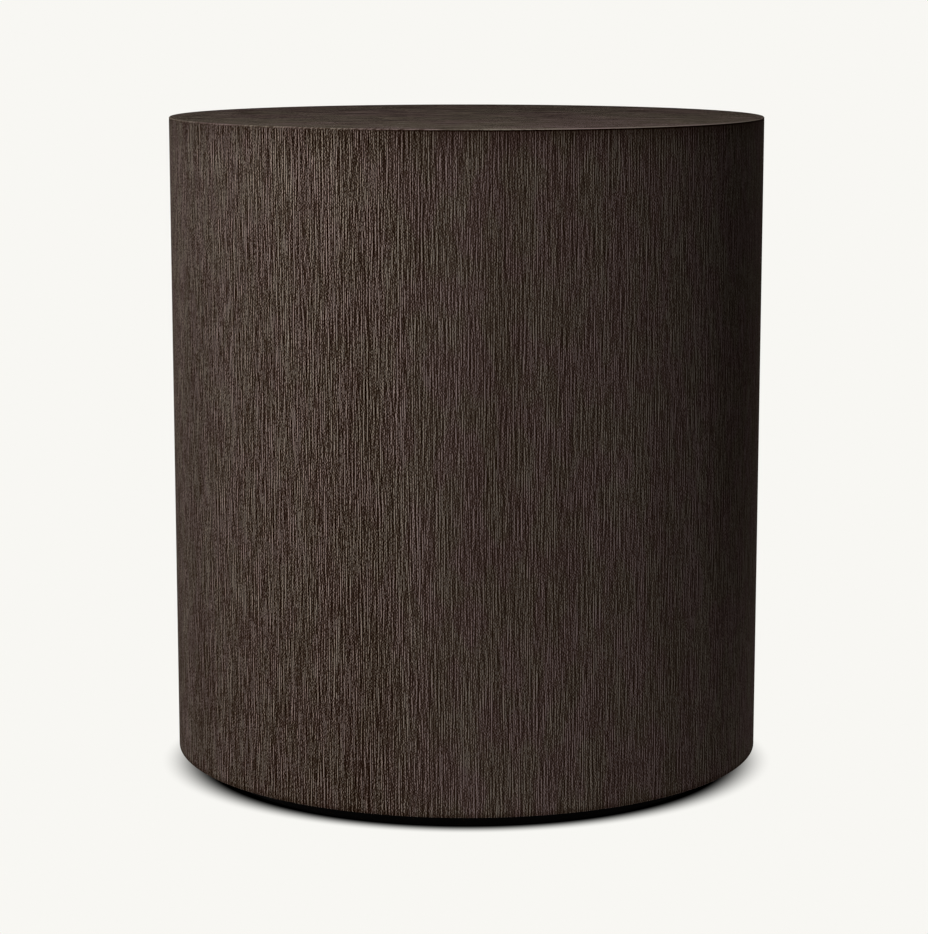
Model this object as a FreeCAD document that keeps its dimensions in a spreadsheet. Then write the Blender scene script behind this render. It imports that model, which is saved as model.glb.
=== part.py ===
import FreeCAD, Part
import os
import re

import Sketcher

# Drum side table: a veneered, bent plywood drum on a recessed black plinth with four levellers.
# Lengths are millimetres. The origin is the centre of the footprint on the floor, +Z is up,
# and the drum's axis is Z.

dimensions = {
    # Overall form
    "drum_diameter": 457,
    "overall_height": 508,
    "plinth_height": 15,
    "plinth_recess": 28,
    "plinth_chamfer": 1,
    # Veneer
    "veneer_thickness": 1,
    "arris_ease": 0.5,
    "side_leaf_count": 8,
    "top_leaf_count": 3,
    # Carcass
    "wall_thickness": 10,
    "top_thickness": 18,
    "bottom_thickness": 18,
    "former_thickness": 18,
    "former_land": 15,
    "stile_count": 4,
    "stile_width": 40,
    "stile_depth": 50,
    "spline_thickness": 4,
    "spline_width": 12,
    # Dowels and screws
    "dowel_count": 4,
    "dowel_diameter": 8,
    "dowel_length": 30,
    "dowel_chamfer": 1,
    "top_screw_count": 8,
    "top_screw_length": 30,
    "stile_screw_length": 50,
    "plinth_screw_count": 8,
    "plinth_screw_length": 28,
    "plinth_screw_inset": 15,
    "screw_diameter": 4,
    "screw_head_diameter": 8,
    "screw_point": 5,
    "screw_recess": 0.5,
    # Levellers and their nuts
    "leveller_count": 4,
    "leveller_inset": 45,
    "leveller_hole_diameter": 34,
    "leveller_lift": 0.5,
    "thread_diameter": 8,
    "stud_length": 36,
    "stud_chamfer": 1,
    "collar_across_flats": 13,
    "collar_height": 4,
    "spigot_diameter": 6,
    "spigot_length": 3.5,
    "pad_diameter": 28,
    "pad_thickness": 6,
    "pad_shoulder": 1.5,
    "nut_barrel_diameter": 10,
    "nut_barrel_length": 11,
    "nut_flange_diameter": 19,
    "nut_flange_thickness": 1.5,
    # Clearances
    "glue_gap": 0.25,
    "fit_gap": 0.1,
    "thread_gap": 0.05,
}

# Radii, from the veneer inwards
drum_radius = "(drum_diameter / 2)"
veneer_inner = f"({drum_radius} - veneer_thickness)"
wall_outer = f"({veneer_inner} - glue_gap)"
wall_inner = f"({wall_outer} - wall_thickness)"
wall_middle = f"({wall_outer} - wall_thickness / 2)"
panel_radius = f"({wall_inner} - glue_gap)"
stile_inner = f"({panel_radius} - stile_depth)"
stile_circle = f"({panel_radius} - stile_depth / 2)"
former_inner = f"({stile_inner} - former_land)"
former_circle = f"(({panel_radius} + {former_inner}) / 2)"
plinth_radius = f"({drum_radius} - plinth_recess)"
plinth_screw_circle = f"({plinth_radius} - plinth_screw_inset)"
leveller_circle = f"({plinth_radius} - leveller_inset)"

# Heights above the floor
stile_base = "(plinth_height + bottom_thickness)"
top_veneer_base = "(overall_height - veneer_thickness)"
top_panel_base = f"({top_veneer_base} - top_thickness)"
backing_base = f"({top_panel_base} - veneer_thickness)"
top_former_base = f"({backing_base} - former_thickness)"
stile_length = f"({top_former_base} - {stile_base})"
middle_former_base = f"({stile_base} + ({stile_length} - former_thickness) / 2)"
wall_height = f"({top_veneer_base} - plinth_height)"
pad_top = "(leveller_lift + pad_thickness)"

# Heights of the screw heads, each let in a little below the face that it is driven from
plinth_screw_head = "screw_recess"
stile_lower_head = "(plinth_height + screw_recess)"
stile_upper_head = f"({backing_base} - screw_recess)"
top_screw_head = f"({top_former_base} + screw_recess)"

# First angle of each ring of fittings: stiles start on the X axis, the rest stand between them
top_screw_start = "(180 / top_screw_count)"
plinth_screw_start = "(180 / plinth_screw_count)"
dowel_start = "(180 / dowel_count)"
leveller_start = "(180 / leveller_count)"

doc = FreeCAD.newDocument("DrumTable")
sheet = doc.addObject("Spreadsheet::Sheet", "Dimensions")
for row, (name, value) in enumerate(dimensions.items(), start=1):
    sheet.set(f"A{row}", name)
    sheet.set(f"B{row}", str(value))
    sheet.setAlias(f"B{row}", name)
doc.recompute()

pieces = []
base_of = {}


def formula(text):
    # The same expression with each dimension's name pointing at its cell
    names = "|".join(dimensions)
    return re.sub(rf"\b({names})\b", r"Dimensions.\1", text)


def number(text):
    return float(sheet.evalExpression(formula(text)))


def count(name):
    return int(sheet.get(name))


def new_body(label, base="0", turn="0"):
    body = doc.addObject("PartDesign::Body", label)
    body.Label = label
    body.setExpression("Placement.Base.z", formula(base))
    body.setExpression("Placement.Rotation.Angle", formula(turn))
    base_of[body.Name] = base
    pieces.append(body)
    return body


def origin_part(body, role):
    return next(part for part in body.Origin.OriginFeatures if part.Role == role)


def new_sketch(body, role, offset=("0", "0", "0")):
    sketch = body.newObject("Sketcher::SketchObject", f"{body.Name}_sketch")
    sketch.AttachmentSupport = [(origin_part(body, role), "")]
    sketch.MapMode = "FlatFace"
    for axis, distance in zip("xyz", offset):
        sketch.setExpression(f"AttachmentOffset.Base.{axis}", formula(distance))
    return sketch


def bind(sketch, name, constraint, text):
    index = sketch.addConstraint(constraint)
    sketch.renameConstraint(index, name)
    sketch.setExpression(f"Constraints.{name}", formula(text))


def draw_circle(sketch, radius):
    value = number(radius)
    circle = sketch.addGeometry(Part.Circle(FreeCAD.Vector(), FreeCAD.Vector(0, 0, 1), value), False)
    sketch.addConstraint(Sketcher.Constraint("Coincident", circle, 3, -1, 1))
    bind(sketch, f"radius_{circle}", Sketcher.Constraint("Radius", circle, value), radius)


def draw_outline(sketch, corners):
    # Closed outline of straight lines, with each corner held from the sketch's origin
    first = sketch.GeometryCount
    places = [FreeCAD.Vector(number(across), number(up), 0) for across, up in corners]
    for start, end in zip(places, places[1:] + places[:1]):
        sketch.addGeometry(Part.LineSegment(start, end), False)
    last = first + len(corners) - 1
    for line in range(first, last + 1):
        following = first if line == last else line + 1
        sketch.addConstraint(Sketcher.Constraint("Coincident", line, 2, following, 1))
    for line, (place, (across, up)) in enumerate(zip(places, corners), start=first):
        for axis, kind, text, value, zero_line in (
            ("across", "DistanceX", across, place.x, -2),
            ("up", "DistanceY", up, place.y, -1),
        ):
            if text == "0":
                sketch.addConstraint(Sketcher.Constraint("PointOnObject", line, 1, zero_line))
            else:
                held = Sketcher.Constraint(kind, -1, 1, line, 1, value)
                bind(sketch, f"{axis}_{line}", held, text)


def pad(body, sketch, length):
    feature = body.newObject("PartDesign::Pad", f"{body.Name}_pad")
    feature.Profile = sketch
    feature.setExpression("Length", formula(length))
    doc.recompute()


def turned(body, kind, corners, sweep="360", place=("0", "0"), height=None):
    # Turn a half section about an upright axis at a place in plan, its zero at a height over the floor
    lift = "0" if height is None else f"{height} - {base_of[body.Name]}"
    sketch = new_sketch(body, "XZ_Plane", (place[0], lift, f"-{place[1]}"))
    draw_outline(sketch, corners)
    feature = body.newObject(f"PartDesign::{kind}", f"{body.Name}_{kind.lower()}")
    feature.Profile = sketch
    feature.ReferenceAxis = (sketch, ["V_Axis"])
    feature.setExpression("Angle", formula(sweep))
    doc.recompute()
    return feature


def on_circle(radius, angle):
    return f"({radius} * cos({angle}))", f"({radius} * sin({angle}))"


def ring_of(body, feature, number_of):
    pattern = body.newObject("PartDesign::PolarPattern", f"{body.Name}_ring")
    pattern.Originals = [feature]
    pattern.Axis = (origin_part(body, "Z_Axis"), [""])
    pattern.Angle = 360
    pattern.setExpression("Occurrences", formula(number_of))
    body.Tip = pattern
    doc.recompute()


def must_shrink(body, volume_before):
    if body.Shape.Volume >= volume_before:
        raise RuntimeError(f"{body.Label}: a cut removed nothing")


def drill(body, corners, circle, start, height, number_of=None):
    before = body.Shape.Volume
    hole = turned(body, "Groove", corners, place=on_circle(circle, start), height=height)
    if number_of:
        ring_of(body, hole, number_of)
    must_shrink(body, before)


def cut_through(body, outlines, number_of=None):
    before = body.Shape.Volume
    sketch = new_sketch(body, "XY_Plane")
    for corners in outlines:
        draw_outline(sketch, corners)
    pocket = body.newObject("PartDesign::Pocket", f"{body.Name}_pocket")
    pocket.Profile = sketch
    pocket.Type = "ThroughAll"
    pocket.Reversed = True
    doc.recompute()
    if number_of:
        ring_of(body, pocket, number_of)
    must_shrink(body, before)


def rectangle(low_x, high_x, low_y, high_y):
    return [(low_x, low_y), (high_x, low_y), (high_x, high_y), (low_x, high_y)]


def disc(label, base, radius, thickness):
    body = new_body(label, base)
    sketch = new_sketch(body, "XY_Plane")
    draw_circle(sketch, radius)
    pad(body, sketch, thickness)
    return body


def former(label, base):
    body = new_body(label, base)
    sketch = new_sketch(body, "XY_Plane")
    draw_circle(sketch, panel_radius)
    draw_circle(sketch, former_inner)
    pad(body, sketch, "former_thickness")
    return body


# Half sections of the fittings, with their axis at 0 and their length along +Z or, driven down, -Z
def screw_section(length, sign=""):
    sink = "((screw_head_diameter - screw_diameter) / 2)"
    return [
        ("0", "0"),
        ("screw_head_diameter / 2", "0"),
        ("screw_diameter / 2", f"{sign}{sink}"),
        ("screw_diameter / 2", f"{sign}({length} - screw_point)"),
        ("0", f"{sign}{length}"),
    ]


def screw_hole_section(length, sign=""):
    behind = "" if sign else "-"
    sink = "((screw_head_diameter - screw_diameter) / 2)"
    head = "(screw_head_diameter / 2 + fit_gap)"
    shank = "(screw_diameter / 2 + fit_gap)"
    return [
        ("0", f"{behind}screw_recess"),
        (head, f"{behind}screw_recess"),
        (head, "0"),
        (shank, f"{sign}{sink}"),
        (shank, f"{sign}({length} - screw_point)"),
        ("0", f"{sign}({length} + 2 * fit_gap)"),
    ]


def bore_section(radius, low, high):
    return [("0", low), (radius, low), (radius, high), ("0", high)]


dowel_hole = bore_section(
    "(dowel_diameter / 2 + fit_gap)",
    "-(dowel_length / 2 + fit_gap)",
    "(dowel_length / 2 + fit_gap)",
)


# Plinth: the black board under the drum, bored for the levellers and sunk for its screws
def make_plinth():
    plinth = new_body("plinth")
    turned(plinth, "Revolution", [
        ("0", "0"),
        (f"{plinth_radius} - plinth_chamfer", "0"),
        (plinth_radius, "plinth_chamfer"),
        (plinth_radius, "plinth_height"),
        ("0", "plinth_height"),
    ])
    drill(plinth, screw_hole_section("plinth_screw_length"), plinth_screw_circle, plinth_screw_start,
          plinth_screw_head, "plinth_screw_count")
    drill(plinth, bore_section("(leveller_hole_diameter / 2)", "0", "plinth_height"), leveller_circle,
          leveller_start, "0", "leveller_count")


def make_bottom_panel():
    panel = disc("bottom_panel", "plinth_height", panel_radius, "bottom_thickness")
    drill(panel, screw_hole_section("plinth_screw_length"), plinth_screw_circle, plinth_screw_start,
          plinth_screw_head, "plinth_screw_count")
    drill(panel, screw_hole_section("stile_screw_length"), stile_circle, "0", stile_lower_head,
          "stile_count")
    drill(panel, bore_section("(nut_barrel_diameter / 2 + fit_gap)", "0", "bottom_thickness"),
          leveller_circle, leveller_start, "plinth_height", "leveller_count")


# Posts, with the outer face curved to the wall
def make_stiles():
    for index in range(count("stile_count")):
        stile = new_body(f"stile_{index + 1}", stile_base, f"{index} * 360 / stile_count")
        sketch = new_sketch(stile, "XY_Plane")
        half, inner, outer = number("stile_width / 2"), number(stile_inner), number(panel_radius)
        corner = (outer ** 2 - half ** 2) ** 0.5
        low_in, low_out = FreeCAD.Vector(inner, -half), FreeCAD.Vector(corner, -half)
        high_in, high_out = FreeCAD.Vector(inner, half), FreeCAD.Vector(corner, half)
        back = sketch.addGeometry(Part.LineSegment(high_in, low_in), False)
        low = sketch.addGeometry(Part.LineSegment(low_in, low_out), False)
        face = sketch.addGeometry(Part.Arc(low_out, FreeCAD.Vector(outer, 0), high_out), False)
        high = sketch.addGeometry(Part.LineSegment(high_out, high_in), False)
        for first, second in ((back, low), (high, back)):
            sketch.addConstraint(Sketcher.Constraint("Coincident", first, 2, second, 1))
        sketch.addConstraint(Sketcher.Constraint("Coincident", low, 2, face, 1))
        sketch.addConstraint(Sketcher.Constraint("Coincident", face, 2, high, 1))
        sketch.addConstraint(Sketcher.Constraint("Coincident", face, 3, -1, 1))
        sketch.addConstraint(Sketcher.Constraint("Horizontal", low))
        sketch.addConstraint(Sketcher.Constraint("Horizontal", high))
        sketch.addConstraint(Sketcher.Constraint("Symmetric", back, 1, back, 2, -1))
        bind(sketch, "radius", Sketcher.Constraint("Radius", face, outer), panel_radius)
        bind(sketch, "width", Sketcher.Constraint("DistanceY", back, 2, back, 1, 2 * half), "stile_width")
        bind(sketch, "inner", Sketcher.Constraint("DistanceX", -1, 1, back, 1, inner), stile_inner)
        pad(stile, sketch, stile_length)
        drill(stile, screw_hole_section("stile_screw_length"), stile_circle, "0", stile_lower_head)
        drill(stile, screw_hole_section("stile_screw_length", "-"), stile_circle, "0", stile_upper_head)


def make_formers():
    middle = former("middle_former", middle_former_base)
    notch = rectangle(f"{stile_inner} - glue_gap", panel_radius,
                      "-(stile_width / 2 + glue_gap)", "stile_width / 2 + glue_gap")
    cut_through(middle, [notch], "stile_count")
    top = former("top_former", top_former_base)
    drill(top, screw_hole_section("stile_screw_length", "-"), stile_circle, "0", stile_upper_head,
          "stile_count")
    drill(top, screw_hole_section("top_screw_length"), former_circle, top_screw_start, top_screw_head,
          "top_screw_count")
    drill(top, dowel_hole, former_circle, dowel_start, backing_base, "dowel_count")


# Top: a board disc with a balancing veneer below, both pierced for the screws and dowels from the former
def make_top():
    for label, base, thickness in (
        ("top_backing_veneer", backing_base, "veneer_thickness"),
        ("top_panel", top_panel_base, "top_thickness"),
    ):
        panel = disc(label, base, panel_radius, thickness)
        drill(panel, screw_hole_section("top_screw_length"), former_circle, top_screw_start, top_screw_head,
              "top_screw_count")
        drill(panel, dowel_hole, former_circle, dowel_start, backing_base, "dowel_count")


# Wall: two bent half shells, grooved at both ends for the loose tongues of the seams
def make_wall():
    section = rectangle(wall_inner, wall_outer, "0", wall_height)
    depth = "(spline_width / 2 + fit_gap)"
    half = "(spline_thickness / 2 + fit_gap)"
    grooves = [
        rectangle(f"{wall_middle} - {half}", f"{wall_middle} + {half}", "0", depth),
        rectangle(f"-{wall_middle} - {half}", f"-{wall_middle} + {half}", "0", depth),
    ]
    for side, turn in (("left", "90"), ("right", "270")):
        shell = new_body(f"wall_shell_{side}", "plinth_height", turn)
        turned(shell, "Revolution", section, "180")
        cut_through(shell, grooves)
    for side, seam in (("front", f"-{wall_middle}"), ("back", wall_middle)):
        spline = doc.addObject("Part::Box", f"seam_spline_{side}")
        spline.Label = f"seam_spline_{side}"
        spline.setExpression("Length", formula("spline_width"))
        spline.setExpression("Width", formula("spline_thickness"))
        spline.setExpression("Height", formula(wall_height))
        spline.setExpression("Placement.Base.x", formula("-spline_width / 2"))
        spline.setExpression("Placement.Base.y", formula(f"{seam} - spline_thickness / 2"))
        spline.setExpression("Placement.Base.z", formula("plinth_height"))
        pieces.append(spline)


# Veneer: upright leaves round the wall, eased at both ends, and strips across the top
def make_veneer():
    side_section = [
        (veneer_inner, "0"),
        (f"{drum_radius} - arris_ease", "0"),
        (drum_radius, "arris_ease"),
        (drum_radius, f"{wall_height} - arris_ease"),
        (f"{drum_radius} - arris_ease", wall_height),
        (veneer_inner, wall_height),
    ]
    for index in range(count("side_leaf_count")):
        turn = f"({index} + 0.5) * 360 / side_leaf_count"
        leaf = new_body(f"side_veneer_{index + 1}", "plinth_height", turn)
        turned(leaf, "Revolution", side_section, "360 / side_leaf_count")

    top_section = [
        ("0", "0"),
        (drum_radius, "0"),
        (drum_radius, "veneer_thickness - arris_ease"),
        (f"{drum_radius} - arris_ease", "veneer_thickness"),
        ("0", "veneer_thickness"),
    ]
    strips = count("top_leaf_count")
    for index in range(strips):
        strip = new_body(f"top_veneer_{index + 1}", top_veneer_base)
        turned(strip, "Revolution", top_section)
        low = f"drum_diameter * ({index} / top_leaf_count - 0.5)"
        high = f"drum_diameter * ({index + 1} / top_leaf_count - 0.5)"
        spare = []
        if index > 0:
            spare.append(rectangle(f"-{drum_radius}", drum_radius, f"-{drum_radius}", low))
        if index < strips - 1:
            spare.append(rectangle(f"-{drum_radius}", drum_radius, high, drum_radius))
        if spare:
            cut_through(strip, spare)


def make_fasteners():
    for label, length, sign, circle, start, head, number_of in (
        ("plinth_screws", "plinth_screw_length", "", plinth_screw_circle, plinth_screw_start,
         plinth_screw_head, "plinth_screw_count"),
        ("stile_screws_lower", "stile_screw_length", "", stile_circle, "0", stile_lower_head,
         "stile_count"),
        ("stile_screws_upper", "stile_screw_length", "-", stile_circle, "0", stile_upper_head,
         "stile_count"),
        ("top_screws", "top_screw_length", "", former_circle, top_screw_start, top_screw_head,
         "top_screw_count"),
    ):
        screws = new_body(label, head)
        screw = turned(screws, "Revolution", screw_section(length, sign), place=on_circle(circle, start))
        ring_of(screws, screw, number_of)

    dowels = new_body("top_dowels", f"({backing_base} - dowel_length / 2)")
    dowel = turned(dowels, "Revolution", [
        ("0", "0"),
        ("dowel_diameter / 2 - dowel_chamfer", "0"),
        ("dowel_diameter / 2", "dowel_chamfer"),
        ("dowel_diameter / 2", "dowel_length - dowel_chamfer"),
        ("dowel_diameter / 2 - dowel_chamfer", "dowel_length"),
        ("0", "dowel_length"),
    ], place=on_circle(former_circle, dowel_start))
    ring_of(dowels, dowel, "dowel_count")


# Levellers: flanged nuts in the bottom panel, and studs with a hexagon collar on round pads
def make_levellers():
    nuts = new_body("tee_nuts", f"({stile_base} - nut_barrel_length)")
    bore = "(thread_diameter / 2 + thread_gap)"
    nut = turned(nuts, "Revolution", [
        (bore, "0"),
        ("nut_barrel_diameter / 2", "0"),
        ("nut_barrel_diameter / 2", "nut_barrel_length"),
        ("nut_flange_diameter / 2", "nut_barrel_length"),
        ("nut_flange_diameter / 2", "nut_barrel_length + nut_flange_thickness"),
        (bore, "nut_barrel_length + nut_flange_thickness"),
    ], place=on_circle(leveller_circle, leveller_start))
    ring_of(nuts, nut, "leveller_count")

    for index in range(count("leveller_count")):
        angle = f"({leveller_start} + {index} * 360 / leveller_count)"
        across, along = on_circle(leveller_circle, angle)
        pad_body = new_body(f"leveller_pad_{index + 1}", "leveller_lift")
        socket = "(spigot_diameter / 2 + fit_gap)"
        socket_floor = "pad_thickness - spigot_length - fit_gap"
        turned(pad_body, "Revolution", [
            ("0", "0"),
            ("pad_diameter / 2 - pad_shoulder", "0"),
            ("pad_diameter / 2", "pad_shoulder"),
            ("pad_diameter / 2", "pad_thickness - pad_shoulder"),
            ("collar_across_flats / 2", "pad_thickness"),
            (socket, "pad_thickness"),
            (socket, socket_floor),
            ("0", socket_floor),
        ])
        stud = new_body(f"leveller_stud_{index + 1}", pad_top)
        sketch = new_sketch(stud, "XY_Plane")
        draw_hexagon(sketch, "collar_across_flats")
        pad(stud, sketch, "collar_height")
        turned(stud, "Revolution", [
            ("0", "-spigot_length"),
            ("spigot_diameter / 2", "-spigot_length"),
            ("spigot_diameter / 2", "collar_height / 2"),
            ("thread_diameter / 2", "collar_height / 2"),
            ("thread_diameter / 2", "collar_height + stud_length - stud_chamfer"),
            ("thread_diameter / 2 - stud_chamfer", "collar_height + stud_length"),
            ("0", "collar_height + stud_length"),
        ])
        for piece in (pad_body, stud):
            piece.setExpression("Placement.Base.x", formula(across))
            piece.setExpression("Placement.Base.y", formula(along))


def draw_hexagon(sketch, across_flats):
    corner = f"({across_flats} / 2 / cos(30))"
    draw_outline(sketch, [(f"{corner} * cos({angle})", f"{corner} * sin({angle})")
                          for angle in (30, 90, 150, 210, 270, 330)])


make_plinth()
make_bottom_panel()
make_stiles()
make_formers()
make_top()
make_wall()
make_veneer()
make_fasteners()
make_levellers()
doc.recompute()

for item in doc.Objects:
    if "Invalid" in item.State or "Error" in item.State:
        raise RuntimeError(f"{item.Label} failed: {item.State}")
for piece in pieces:
    if piece.Shape.isNull() or not piece.Shape.isValid():
        raise RuntimeError(f"{piece.Label} has no valid shape")

os.makedirs("parts", exist_ok=True)
for piece in pieces:
    piece.Shape.exportStep(f"parts/{piece.Label}.step")
print(f"{len(pieces)} pieces written")
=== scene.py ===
import math

import bpy
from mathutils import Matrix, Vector


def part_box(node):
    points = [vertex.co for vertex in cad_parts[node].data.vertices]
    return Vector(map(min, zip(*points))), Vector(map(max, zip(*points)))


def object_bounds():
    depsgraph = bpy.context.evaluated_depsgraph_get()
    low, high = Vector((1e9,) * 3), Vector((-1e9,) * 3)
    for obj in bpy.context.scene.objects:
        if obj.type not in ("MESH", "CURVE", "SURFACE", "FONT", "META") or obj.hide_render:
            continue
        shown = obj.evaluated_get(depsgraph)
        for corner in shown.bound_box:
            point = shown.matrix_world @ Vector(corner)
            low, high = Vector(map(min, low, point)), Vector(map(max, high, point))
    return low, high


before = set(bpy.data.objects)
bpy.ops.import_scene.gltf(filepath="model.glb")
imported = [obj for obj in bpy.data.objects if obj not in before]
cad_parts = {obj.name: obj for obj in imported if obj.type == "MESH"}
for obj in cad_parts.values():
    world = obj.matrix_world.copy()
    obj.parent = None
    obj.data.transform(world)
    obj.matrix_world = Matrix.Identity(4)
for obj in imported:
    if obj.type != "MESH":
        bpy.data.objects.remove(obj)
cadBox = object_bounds()
print("frame loaded:", len(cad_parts), "nodes")

imageSize = (928, 934)         # pixels, the long side sets the lens
perMetre = 1000.0              # finishes are drawn in millimetres
drumRadius = cadBox[1].x * perMetre
drumHeight = cadBox[1].z * perMetre
xAxis, yAxis, zAxis = 0, 1, 2
shiftShares = (1.0, 1.7, 0.6)  # how far a noise's shift takes it along X, Y and Z
noiseRest = {"shift": 0.0, "detail": 0.0, "rough": 0.5}  # unless a look says otherwise


class Wire:
    # one shader value, with operators that add Math nodes
    def __init__(self, finish, socket):
        self.finish = finish
        self.socket = socket

    def __add__(self, other):
        return self.finish.math("ADD", self, other)

    def __radd__(self, other):
        return self.finish.math("ADD", other, self)

    def __sub__(self, other):
        return self.finish.math("SUBTRACT", self, other)

    def __rsub__(self, other):
        return self.finish.math("SUBTRACT", other, self)

    def __mul__(self, other):
        return self.finish.math("MULTIPLY", self, other)

    def __rmul__(self, other):
        return self.finish.math("MULTIPLY", other, self)

    def __truediv__(self, other):
        return self.finish.math("DIVIDE", self, other)

    def __rtruediv__(self, other):
        return self.finish.math("DIVIDE", other, self)


class Finish:
    # the node tree of a material or of the world
    def __init__(self, owner):
        owner.use_nodes = True
        self.owner = owner
        self.tree = owner.node_tree
        self.tree.nodes.clear()

    def node(self, kind, settings=None, sockets=None, out=0):
        made = self.tree.nodes.new(kind)
        for name, value in (settings or {}).items():
            if name == "stops":
                self.setStops(made.color_ramp, value)
            else:
                setattr(made, name, value)
        for name, value in (sockets or {}).items():
            target = made.inputs[name]
            if isinstance(value, Wire):
                self.tree.links.new(value.socket, target)
            else:
                target.default_value = value
        return Wire(self, made.outputs[out]) if made.outputs else made

    def setStops(self, ramp, stops):
        while len(ramp.elements) < len(stops):
            ramp.elements.new(0.5)  # its place is set below
        for element, (place, shade) in zip(ramp.elements, stops):
            element.position = place
            element.color = colour(shade)

    def math(self, operation, *values):
        return self.node("ShaderNodeMath", {"operation": operation}, dict(enumerate(values)))

    def step(self, low, high, value):
        # smooth 0 to 1 as value goes from low to high
        return self.node("ShaderNodeMapRange", {"interpolation_type": "SMOOTHSTEP"},
                         {"Value": value, "From Min": low, "From Max": high})

    def mix(self, factor, first, second, blend="MIX"):
        # two colours by a factor: the node's colours go in at 6 and 7 and come out at 2
        return self.node("ShaderNodeMix", {"data_type": "RGBA", "blend_type": blend},
                         {0: factor, 6: first, 7: second}, out=2)

    def ramp(self, value, stops):
        return self.node("ShaderNodeValToRGB", {"stops": stops}, {"Fac": value}, out="Color")

    def vector(self, operation, *values, out=0):
        return self.node("ShaderNodeVectorMath", {"operation": operation}, dict(enumerate(values)), out=out)

    def spot(self):
        # where the surface is, in millimetres in the shared frame
        return self.vector("MULTIPLY", self.node("ShaderNodeTexCoord", out="Object"), (perMetre,) * 3)

    def part(self, vector, axis):
        return self.node("ShaderNodeSeparateXYZ", None, {0: vector}, out=axis)

    def plane(self, across, along):
        return self.node("ShaderNodeCombineXYZ", None, {0: across, 1: along})

    def noise(self, place, look, axis=zAxis, dimensions="3D"):
        # as fine as the look's width, and drawn out to its length along one axis
        look = {"length": look["width"], **noiseRest, **look}
        scales = [1 / look["width"]] * 3
        scales[axis] = 1 / look["length"]
        shift = [look["shift"] * share for share in shiftShares]
        return self.node("ShaderNodeTexNoise", {"noise_dimensions": dimensions}, {
            "Vector": self.vector("MULTIPLY_ADD", place, scales, shift),
            "Scale": 1.0,
            "Detail": look["detail"],
            "Roughness": look["rough"],
        }, out="Fac")

    def bump(self, height, relief, strength):
        # relief is in millimetres
        return self.node("ShaderNodeBump", None,
                         {"Height": height, "Distance": relief / perMetre, "Strength": strength})

    def surface(self, sockets):
        shader = self.node("ShaderNodeBsdfPrincipled", None, sockets)
        self.node("ShaderNodeOutputMaterial", None, {"Surface": shader})


def newMaterial(name):
    return Finish(bpy.data.materials.new(name))


def solid(rgb):
    return (*rgb, 1.0)


def grey(share):
    return solid((share,) * 3)


def colour(screen):
    # screen colour, 0 to 255, as the linear colour that shaders take
    def linear(value):
        share = value / 255
        return share / 12.92 if share <= 0.04045 else ((share + 0.055) / 1.055) ** 2.4
    return solid(map(linear, screen))


def sway(value):
    # a noise runs from 0 to 1, and this swings about nought
    return value - 0.5


def nodesNamed(start):
    return [name for name in sorted(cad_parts) if name.startswith(start)]


def dress(names, finish):
    for name in names:
        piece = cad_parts[name]
        piece.data.materials.clear()
        piece.data.materials.append(finish.owner)
    print(finish.owner.name, "on", len(names), "nodes")


# dark brushed oak: pale raised fibres and deep pores, drawn out along the grain
# widths and lengths are in millimetres here and in the other finishes
oakLook = {
    "shades": (
        (0.00, (12, 2, 0)),
        (0.25, (21, 9, 2)),
        (0.50, (40, 28, 21)),
        (0.75, (78, 64, 55)),
        (1.00, (155, 141, 131)),
    ),
    "strand": {"width": 0.84, "length": 64, "shift": 61.7, "gain": 0.95},
    "fibre": {"width": 0.84, "length": 16, "shift": 11.3, "gain": 1.1},
    "grit": {"width": 0.84, "length": 1.3, "shift": 23.9, "gain": 0.95},
    "spacing": 0.72,                # millimetres between neighbouring lines
    "crisp": 0.80,                  # spread of fibre values between deep and pale
    "band": {"width": 9, "length": 90, "shift": 37.1, "detail": 1.0, "gain": 0.02},
    "tone": {"width": 34, "length": 330, "shift": 5.7, "gain": 0.05},
    "wander": {"width": 30, "length": 220, "shift": 3.1, "gain": 0.35},
    "patchEdge": (0.38, 0.62),      # where one hue gives way to the other
    "warm": (0.981, 1.019, 0.949),  # olive brown patches
    "cool": (1.014, 0.941, 1.001),  # purple grey patches
    "roughSpan": 0.2,               # pale fibres are smoother
    "relief": 0.35,                 # millimetres
}


def layer(finish, plane, look):
    # noise over a plane of across, along the grain
    return finish.noise(plane, look, yAxis, "2D")


def drift(finish, plane, look):
    return sway(layer(finish, plane, look)) * look["gain"]


def lines(finish, plane, look):
    # two noises side by side, one less the other: fine lines without broad bands
    beside = finish.vector("ADD", plane, (oakLook["spacing"], 0.0, 0.0))
    return (layer(finish, plane, look) - layer(finish, beside, look)) * look["gain"]


def oakGrain(finish, across, along, patchLook):
    look = oakLook
    wander = drift(finish, finish.plane(across, along), look["wander"])
    plane = finish.plane(across + wander, along)
    streak = lines(finish, plane, look["strand"]) + lines(finish, plane, look["fibre"])
    streak = streak + lines(finish, plane, look["grit"])
    crisp = sway(finish.step(-look["crisp"], look["crisp"], streak))
    slow = drift(finish, plane, look["band"]) + drift(finish, plane, look["tone"])
    patch = finish.step(*look["patchEdge"], layer(finish, plane, patchLook))
    return crisp, slow, patch


def oakColour(finish, value, patch, hue):
    wood = finish.ramp(value, oakLook["shades"])
    tint = finish.mix(patch, solid(oakLook["cool"]), solid(oakLook["warm"]))
    return finish.mix(hue, wood, tint, "MULTIPLY")


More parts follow.
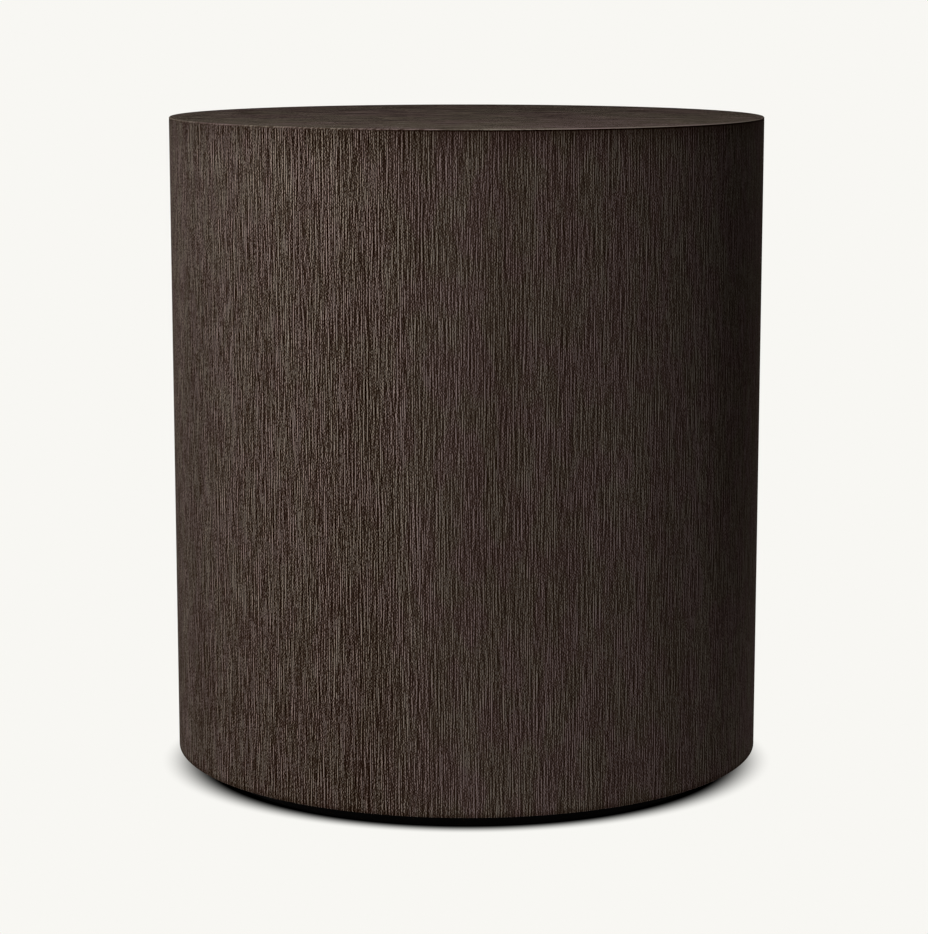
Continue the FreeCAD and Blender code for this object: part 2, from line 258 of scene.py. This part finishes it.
sideLook = {
    "streakShare": 0.80,
    "middle": 0.545,                    # the shade between deep and pale
    "lightClimb": 0.075,                     # painted light: paler towards the top, away from the shaded side
    "shadedSide": 0.27,                       # grain shows less round the right, the side away from the lamps: painted shade
    "shadedSideTurn": 10,                     # degrees left of the front, the middle of the change
    "shadedSideSoft": 0.20,                   # half the change, as a share of the radius
    "shadedSideSpread": 0.7,                  # added to that at the back
    # painted fill light: the shaded right side is lifted paler
    "shadedSideLift": 0.075,
    "shadedSideTint": (0.969, 0.992, 1.049),  # painted cool fill light: greyer there
    "hue": 0.6,                         # how far the patches differ in hue
    "shadedSideHue": 0.4,                     # added to that round the right
    "patch": {"width": 18, "length": 42, "shift": 47.3, "detail": 1.0},
    "rimShade": 0.30,                    # painted shade under the top's edge, round the shaded right side
    "rimReach": 1.2,                    # millimetres down from the top veneer
    "underShade": 0.045,                 # painted shade, fainter, further down
    "underReach": 7.0,
    "shadeDark": 0.055,                 # further still, all round
    "shadeReach": 24.0,
    "footHighlight": 0.12,                   # painted highlight on the lower arris
    "footReach": 0.9,                   # millimetres up from it
    "hemShade": 0.10,                    # painted shade above the lower edge
    "hemReach": 5.0,
    "roughness": 0.78,
    "gloss": 0.003,
    "reliefStrength": 0.12,
}


def turnFromFront(finish, spot):
    return finish.math("ARCTAN2", finish.part(spot, xAxis), 0 - finish.part(spot, yAxis))


def shadedSideShare(finish, spot, turn):
    # 0 round the lit left and 1 round the shaded right, with a slower change at the back; it carries
    # painted light and shade
    swing = finish.math("SINE", turn + math.radians(sideLook["shadedSideTurn"]))
    behind = finish.step(0.0, drumRadius, finish.part(spot, yAxis))
    soft = behind * sideLook["shadedSideSpread"] + sideLook["shadedSideSoft"]
    return finish.step(0 - soft, soft, swing)


def makeSideOak():
    look = sideLook
    finish = newMaterial("darkOakSide")
    spot = finish.spot()
    height = finish.part(spot, zAxis)
    turn = turnFromFront(finish, spot)
    shadedSide = shadedSideShare(finish, spot, turn)
    low, high = (corner.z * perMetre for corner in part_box("side_veneer_1"))

    def underRim(reach):
        return finish.step(high - reach, high, height)

    def aboveFoot(reach):
        return 1 - finish.step(low, low + reach, height)

    streak, slow, patch = oakGrain(finish, turn * drumRadius, height, look["patch"])
    # painted shade: less grain round the shaded right side, which is also lifted paler as painted fill
    # light
    streak = streak * (look["streakShare"] - shadedSide * look["shadedSide"])
    value = streak + slow + shadedSide * look["shadedSideLift"] + look["middle"]
    # painted light: paler towards the top round the lit left side
    value = value + sway(height / drumHeight) * (1 - shadedSide) * look["lightClimb"]
    # painted shade under the top's edge round the shaded right side, and fainter all round
    underRimShade = underRim(look["rimReach"]) * look["rimShade"] + underRim(look["underReach"]) * look["underShade"]
    value = value - underRimShade * shadedSide - underRim(look["shadeReach"]) * look["shadeDark"]
    # painted highlight along the lower arris
    value = value + aboveFoot(look["footReach"]) * look["footHighlight"]
    # painted shade above the lower edge
    value = value - aboveFoot(look["hemReach"]) * look["hemShade"]
    wood = oakColour(finish, value, patch, shadedSide * look["shadedSideHue"] + look["hue"])
    finish.surface({
        # painted cool fill light, greyer round the shaded right side
        "Base Color": finish.mix(shadedSide, wood, solid(look["shadedSideTint"]), "MULTIPLY"),
        "Roughness": look["roughness"] - streak * oakLook["roughSpan"],
        "Specular IOR Level": look["gloss"],
        "Normal": finish.bump(streak, oakLook["relief"], look["reliefStrength"]),
    })
    dress(nodesNamed("side_veneer"), finish)


topLook = {
    "streakShare": 0.95,
    "middle": 0.53,              # the shade between deep and pale
    "fleck": {"width": 3.2, "length": 100, "shift": 71.9, "detail": 3.0, "rough": 0.75, "gain": 0.75},
    "cloud": {"width": 8.5, "length": 38, "shift": 29.3, "detail": 3.0, "rough": 0.75, "gain": 0.95},
    "frontLight": 0.11,           # painted light: paler towards the front
    "hue": 1.0,                  # how far the patches differ in hue
    "patch": {"width": 90, "length": 80, "shift": 47.3, "detail": 1.0},
    "arrisRise": (0.75, 0.95),   # how far the arris faces up
    # wear and a painted highlight along the arris
    "arrisWearAndHighlight": 0.27,
    "arrisCalm": 0.7,            # the arris and the edge show less grain
    "arrisRightHighlight": 0.46,          # painted highlight, paler on the side away from the lamps
    "arrisStart": -0.35,         # of the radius, where that starts
    "arrisFull": 0.90,
    "edgeRise": (0.05, 0.35),    # how far the veneer's own edge faces up
    # painted highlight on the veneer's own edge
    "edgeHighlight": 0.14,
    "edgeShade": 0.42,            # painted shade in the joint there, round the shaded right side
    "roughness": 0.80,
    "gloss": 0.003,
    "reliefStrength": 0.20,
}


def makeTopOak():
    look = topLook
    finish = newMaterial("darkOakTop")
    spot = finish.spot()
    across, along = finish.part(spot, yAxis), finish.part(spot, xAxis)
    streak, slow, patch = oakGrain(finish, across, along, look["patch"])
    plane = finish.plane(across, along)
    fleck = drift(finish, plane, look["fleck"]) + drift(finish, plane, look["cloud"])
    # painted light: paler towards the front
    fleck = fleck - across * (look["frontLight"] / drumRadius)
    rise = finish.part(finish.node("ShaderNodeNewGeometry", out="True Normal"), zAxis)
    edge = 1 - finish.step(*look["edgeRise"], rise)
    arris = (1 - finish.step(*look["arrisRise"], rise)) * (1 - edge)
    value = streak * look["streakShare"] + slow + fleck
    value = value * (1 - (arris + edge) * look["arrisCalm"]) + look["middle"]
    # painted highlight on the arris, stronger towards the right, with some wear
    right = finish.step(look["arrisStart"] * drumRadius, look["arrisFull"] * drumRadius, along)
    value = value + arris * (right * look["arrisRightHighlight"] + look["arrisWearAndHighlight"])
    shadedSide = shadedSideShare(finish, spot, turnFromFront(finish, spot))
    # painted highlight on the veneer's edge, with painted shade in the joint round the shaded right side
    value = value + edge * (look["edgeHighlight"] - shadedSide * look["edgeShade"])
    finish.surface({
        "Base Color": oakColour(finish, value, patch, look["hue"]),
        "Roughness": look["roughness"] - streak * oakLook["roughSpan"],
        "Specular IOR Level": look["gloss"],
        "Normal": finish.bump(streak, oakLook["relief"], look["reliefStrength"]),
    })
    dress(nodesNamed("top_veneer"), finish)


plinthLook = {
    "paint": (3, 2, 2),
    "rubbed": (8, 7, 6),
    "mottle": {"width": 14.0, "detail": 3.0},
    "rubbedEdge": (0.55, 0.75),  # of the mottle, where the paint is rubbed
    "peel": {"width": 1.2, "shift": 9.1, "detail": 2.0},
    "roughness": 0.55,
    "roughSpan": 0.25,
    "gloss": 0.04,
    "relief": 0.05,              # millimetres
    "reliefStrength": 0.3,
}


def makeBlackPaint():
    look = plinthLook
    finish = newMaterial("blackPaint")
    spot = finish.spot()
    mottle = finish.noise(spot, look["mottle"])
    peel = finish.noise(spot, look["peel"])
    rubbed = finish.step(*look["rubbedEdge"], mottle)
    finish.surface({
        "Base Color": finish.mix(rubbed, colour(look["paint"]), colour(look["rubbed"])),
        "Roughness": look["roughness"] + mottle * look["roughSpan"],
        "Specular IOR Level": look["gloss"],
        "Normal": finish.bump(peel, look["relief"], look["reliefStrength"]),
    })
    dress(["plinth"], finish)


plainWoodLook = {
    "hardwood": {"deep": (158, 118, 80), "pale": (196, 158, 118), "axis": zAxis, "roughness": 0.6},
    "backingVeneer": {"deep": (104, 76, 54), "pale": (140, 108, 80), "axis": xAxis, "roughness": 0.65},
    "deepAt": 0.1,
    "paleAt": 0.9,
    "middle": 0.5,            # the shade between them
    "figure": {"width": 9, "length": 160, "shift": 2.3, "detail": 3.0, "rough": 0.55, "gain": 1.4},
    "fibre": {"width": 0.8, "length": 30, "shift": 7.9, "detail": 3.0, "rough": 0.6, "gain": 0.9},
    "ray": {"width": 0.7, "length": 4, "shift": 15.1, "detail": 2.0, "gain": 0.2},
    "rayEdge": (0.62, 0.72),
    "roughSpan": 0.2,
    "gloss": 0.3,
    "relief": 0.1,            # millimetres
    "reliefStrength": 0.3,
}


def makePlainWood(name, nodes):
    look = plainWoodLook
    kind = look[name]
    finish = newMaterial(name)
    spot = finish.spot()
    figure = sway(finish.noise(spot, look["figure"], kind["axis"]))
    fibre = sway(finish.noise(spot, look["fibre"], kind["axis"]))
    ray = finish.step(*look["rayEdge"], finish.noise(spot, look["ray"], kind["axis"]))
    value = figure * look["figure"]["gain"] + fibre * look["fibre"]["gain"] + look["middle"]
    value = value - ray * look["ray"]["gain"]
    finish.surface({
        "Base Color": finish.ramp(value, ((look["deepAt"], kind["deep"]), (look["paleAt"], kind["pale"]))),
        "Roughness": kind["roughness"] + fibre * look["roughSpan"],
        "Specular IOR Level": look["gloss"],
        "Normal": finish.bump(fibre, look["relief"], look["reliefStrength"]),
    })
    dress(nodes, finish)


plyLook = {
    "shades": ((0.30, (160, 122, 82)), (0.65, (206, 172, 128))),
    "ply": 1.5,                  # millimetres, one layer
    "upright": {"width": 1.0, "length": 40, "shift": 4.4, "detail": 3.0, "rough": 0.6},
    "level": {"width": 1.0, "length": 40, "shift": 8.8, "detail": 3.0, "rough": 0.6},
    "crossEdge": (0.45, 0.55),   # of two layers, where the grain turns
    "crossDark": 0.12,
    "glue": (92, 62, 40),
    "glueShare": 0.12,           # of a layer
    "glueMix": 0.7,
    "glueSink": 0.3,
    "roughness": 0.72,
    "roughSpan": 0.2,
    "gloss": 0.25,
    "relief": 0.1,               # millimetres
    "reliefStrength": 0.3,
}


def makePlywood(name, bent, nodes):
    # layers are stacked along Z in flat board, and along the radius in bent board
    look = plyLook
    finish = newMaterial(name)
    spot = finish.spot()
    if bent:
        depth = finish.vector("LENGTH", finish.vector("MULTIPLY", spot, (1.0, 1.0, 0.0)), out="Value")
    else:
        depth = finish.part(spot, zAxis)
    plies = depth / look["ply"]
    cross = finish.step(*look["crossEdge"], finish.math("FRACT", plies / 2))
    upright = finish.noise(spot, look["upright"], zAxis)
    level = finish.noise(spot, look["level"], xAxis)
    fibre = upright * cross + level * (1 - cross)
    wood = finish.ramp(fibre - cross * look["crossDark"], look["shades"])
    glue = 1 - finish.step(0.0, look["glueShare"], finish.math("FRACT", plies))
    finish.surface({
        "Base Color": finish.mix(glue * look["glueMix"], wood, colour(look["glue"])),
        "Roughness": look["roughness"] + sway(fibre) * look["roughSpan"],
        "Specular IOR Level": look["gloss"],
        "Normal": finish.bump(fibre - glue * look["glueSink"], look["relief"], look["reliefStrength"]),
    })
    dress(nodes, finish)


boardLook = {
    "shades": ((0.3, (132, 100, 70)), (0.7, (176, 142, 104))),
    "cloud": {"width": 18, "detail": 3.0, "gain": 0.5},
    "fuzz": {"width": 0.6, "shift": 6.6, "detail": 3.0, "rough": 0.65, "gain": 0.5},
    "fleck": {"width": 1.1, "length": 2.4, "shift": 12.2, "detail": 2.0, "gain": 0.6},
    "fleckEdge": (0.66, 0.74),
    "fleckShade": (96, 70, 48),
    "roughness": 0.8,
    "roughSpan": 0.2,
    "gloss": 0.2,
    "relief": 0.08,           # millimetres
    "reliefStrength": 0.3,
}


def makeFibreboard():
    look = boardLook
    finish = newMaterial("fibreboard")
    spot = finish.spot()
    cloud = finish.noise(spot, look["cloud"])
    fuzz = finish.noise(spot, look["fuzz"])
    fleck = finish.step(*look["fleckEdge"], finish.noise(spot, look["fleck"], yAxis))
    board = finish.ramp(cloud * look["cloud"]["gain"] + fuzz * look["fuzz"]["gain"], look["shades"])
    finish.surface({
        "Base Color": finish.mix(fleck * look["fleck"]["gain"], board, colour(look["fleckShade"])),
        "Roughness": look["roughness"] + sway(fuzz) * look["roughSpan"],
        "Specular IOR Level": look["gloss"],
        "Normal": finish.bump(fuzz, look["relief"], look["reliefStrength"]),
    })
    dress(["top_panel", "bottom_panel"], finish)


steelLook = {
    "dull": (150, 152, 150),
    "bright": (196, 198, 200),
    "warm": (190, 184, 160),
    "spangle": {"width": 3.0, "shift": 1.9, "detail": 2.0},
    "scratch": {"width": 0.25, "length": 5.0, "shift": 14.0, "detail": 2.0, "rough": 0.6},
    "haze": {"width": 9, "shift": 21.0, "detail": 2.0, "gain": 0.4},
    "hazeEdge": (0.45, 0.70),
    "roughness": 0.30,
    "scratchRough": 0.2,
    "hazeRough": 0.1,
    "relief": 0.02,           # millimetres
    "reliefStrength": 0.3,
}


def makeZincSteel():
    look = steelLook
    finish = newMaterial("zincSteel")
    spot = finish.spot()
    scratch = finish.noise(spot, look["scratch"])
    haze = finish.step(*look["hazeEdge"], finish.noise(spot, look["haze"]))
    zinc = finish.mix(finish.noise(spot, look["spangle"]), colour(look["dull"]), colour(look["bright"]))
    finish.surface({
        "Base Color": finish.mix(haze * look["haze"]["gain"], zinc, colour(look["warm"])),
        "Metallic": 1.0,
        "Roughness": look["roughness"] + scratch * look["scratchRough"] + haze * look["hazeRough"],
        "Normal": finish.bump(scratch, look["relief"], look["reliefStrength"]),
    })
    screws = nodesNamed("stile_screws") + ["plinth_screws", "top_screws"]
    dress(nodesNamed("leveller_stud") + screws + ["tee_nuts"], finish)


nylonLook = {
    "body": (26, 26, 27),
    "scuffed": (58, 57, 55),
    "grain": {"width": 0.4, "shift": 3.0, "detail": 2.0},
    "scuff": {"width": 2.5, "length": 0.8, "shift": 17.0, "detail": 3.0, "rough": 0.6},
    "scuffEdge": (0.60, 0.75),
    "wear": 0.15,             # all over
    "soleWear": 0.7,          # added to that on the sole
    "soleReach": 1.0,         # millimetres
    "roughness": 0.45,
    "grainRough": 0.15,
    "wornRough": 0.2,
    "gloss": 0.4,
    "relief": 0.03,           # millimetres
    "reliefStrength": 0.25,
}


def makeNylon():
    look = nylonLook
    finish = newMaterial("nylon")
    spot = finish.spot()
    grain = finish.noise(spot, look["grain"])
    scuff = finish.step(*look["scuffEdge"], finish.noise(spot, look["scuff"]))
    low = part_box("leveller_pad_1")[0].z * perMetre
    sole = 1 - finish.step(low, low + look["soleReach"], finish.part(spot, zAxis))
    worn = scuff * (sole * look["soleWear"] + look["wear"])
    finish.surface({
        "Base Color": finish.mix(worn, colour(look["body"]), colour(look["scuffed"])),
        "Roughness": look["roughness"] + grain * look["grainRough"] + worn * look["wornRough"],
        "Specular IOR Level": look["gloss"],
        "Normal": finish.bump(grain, look["relief"], look["reliefStrength"]),
    })
    dress(nodesNamed("leveller_pad"), finish)


makeSideOak()
makeTopOak()
makeBlackPaint()
stiles = [name for name in nodesNamed("stile") if name not in nodesNamed("stile_screws")]
makePlainWood("hardwood", stiles + nodesNamed("seam_spline") + ["top_dowels"])
makePlainWood("backingVeneer", ["top_backing_veneer"])
makePlywood("flatPlywood", False, ["top_former", "middle_former"])
makePlywood("bentPlywood", True, nodesNamed("wall_shell"))
makeFibreboard()
makeZincSteel()
makeNylon()


# floor and backdrop
stageLook = {
    "paper": (248, 247, 243),
    "floorSize": 40.0,     # metres
    "bounce": 0.85,        # how much the floor gives back to the drum
    "bounceRest": 0.15,    # the same, further off
    "bounceNear": 0.45,    # metres
    "bounceFar": 0.90,
    "bounceSide": 1.2,     # it falls off sooner by this to the left and right
    "fill": 0.14,          # light from all round
    "shadowWide": 1.070,   # of the drum's radius, left to right
    "shadowDeep": 1.081,   # of the plinth's radius, front to back
    "shadowSoft": 0.085,   # share of that over which it fades at the front
    "shadowSide": 0.085,   # added at the left and right
}


def seenRay(finish):
    # 1 where the stage is seen, by the camera or in a reflection, and 0 where it only lights
    camera, glossy, through = (finish.node("ShaderNodeLightPath", out=ray)
                               for ray in ("Is Camera Ray", "Is Glossy Ray", "Is Transmission Ray"))
    return finish.math("MINIMUM", camera + glossy + through, 1.0)


def shaderMix(finish, factor, first, second):
    return finish.node("ShaderNodeMixShader", None, {0: factor, 1: first, 2: second})


def makePaper():
    look = stageLook
    finish = newMaterial("studioPaper")
    spot = finish.spot()
    # the shadow is a soft ellipse under the drum
    wide = drumRadius * look["shadowWide"]
    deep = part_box("plinth")[1].y * perMetre * look["shadowDeep"]
    place = finish.vector("MULTIPLY", spot, (1 / wide, 1 / deep, 0.0))
    side = finish.part(place, xAxis)
    soft = side * side * look["shadowSide"] + look["shadowSoft"]
    lit = finish.step(1 - soft, 1.0, finish.vector("LENGTH", place, out="Value"))
    dark = finish.node("ShaderNodeEmission", None, {"Color": grey(0.0)})
    paper = finish.node("ShaderNodeEmission", None, {"Color": colour(look["paper"])})
    # what the drum gets back from the floor falls off with distance
    reach = finish.vector("MULTIPLY", spot, (look["bounceSide"], 1.0, 1.0))
    away = finish.vector("LENGTH", reach, out="Value") / perMetre
    far = finish.step(look["bounceNear"], look["bounceFar"], away)
    near, rest = (finish.node("ShaderNodeBsdfDiffuse", None, {"Color": grey(look[name])})
                  for name in ("bounce", "bounceRest"))
    bounce = shaderMix(finish, far, near, rest)
    surface = shaderMix(finish, seenRay(finish), bounce, shaderMix(finish, lit, dark, paper))
    finish.node("ShaderNodeOutputMaterial", None, {"Surface": surface})
    return finish.owner


def makeFloor():
    half = stageLook["floorSize"] / 2
    corners = [(-half, -half, 0), (half, -half, 0), (half, half, 0), (-half, half, 0)]
    mesh = bpy.data.meshes.new("studioFloor")
    mesh.from_pydata(corners, [], [(0, 1, 2, 3)])
    mesh.materials.append(makePaper())
    floor = bpy.data.objects.new("studioFloor", mesh)
    bpy.context.scene.collection.objects.link(floor)


def makeWorld():
    world = bpy.data.worlds.new("studioWorld")
    bpy.context.scene.world = world
    finish = Finish(world)
    fill = finish.node("ShaderNodeBackground", None, {"Color": grey(stageLook["fill"])})
    paper = finish.node("ShaderNodeBackground", None, {"Color": colour(stageLook["paper"])})
    finish.node("ShaderNodeOutputWorld", None, {"Surface": shaderMix(finish, seenRay(finish), fill, paper)})


lampLook = {
    "keyLamp": {"turn": -85, "rise": 8, "distance": 2.0, "size": 0.7, "power": 11.0,
                "tint": (0.96, 1.00, 1.06), "sheen": True},
    "frontLamp": {"turn": -25, "rise": 30, "distance": 2.0, "size": 0.7, "power": 24.0,
                  "tint": (1.00, 1.00, 1.00), "sheen": True},
    "backLamp": {"turn": 180, "rise": 15, "distance": 2.0, "size": 0.7, "power": 20.0,
                 "tint": (1.00, 1.00, 1.00), "sheen": False},
}


def makeLamp(name, turn, rise, distance, size, power, tint, sheen):
    # turn is from the viewer's side, negative to the left, and rise is above the floor, in degrees
    target = Vector((0, 0, cadBox[1].z / 2))
    turn, rise = math.radians(turn), math.radians(rise)
    away = Vector((math.sin(turn) * math.cos(rise), -math.cos(turn) * math.cos(rise), math.sin(rise)))
    data = bpy.data.lights.new(name, "AREA")
    data.shape = "DISK"
    data.size = size
    data.energy = power
    data.color = tint
    lamp = bpy.data.objects.new(name, data)
    lamp.visible_glossy = sheen
    lamp.location = target + away * distance
    lamp.rotation_euler = (-away).to_track_quat("-Z", "Y").to_euler()
    bpy.context.scene.collection.objects.link(lamp)


cameraLook = {
    "distance": 2.1733,    # metres in front of the drum's axis
    "height": 0.5980,
    "aside": -0.0020,
    "tiltDown": 9.532,     # degrees
    "focalPixels": 2797.6,
    "sensor": 36.0,        # millimetres
    "clipEnd": 100.0,      # metres
}


def makeCamera():
    look = cameraLook
    data = bpy.data.cameras.new("photoCamera")
    data.sensor_width = look["sensor"]
    data.lens = look["focalPixels"] * look["sensor"] / max(imageSize)
    data.clip_end = look["clipEnd"]
    camera = bpy.data.objects.new("photoCamera", data)
    camera.location = (look["aside"], -look["distance"], look["height"])
    camera.rotation_euler = (math.radians(90 - look["tiltDown"]), 0, 0)
    bpy.context.scene.collection.objects.link(camera)
    bpy.context.scene.camera = camera


makeFloor()
makeWorld()
for name, look in lampLook.items():
    makeLamp(name, **look)
makeCamera()
bpy.context.scene.view_settings.view_transform = "Standard"
print("stage, lamps and camera set")
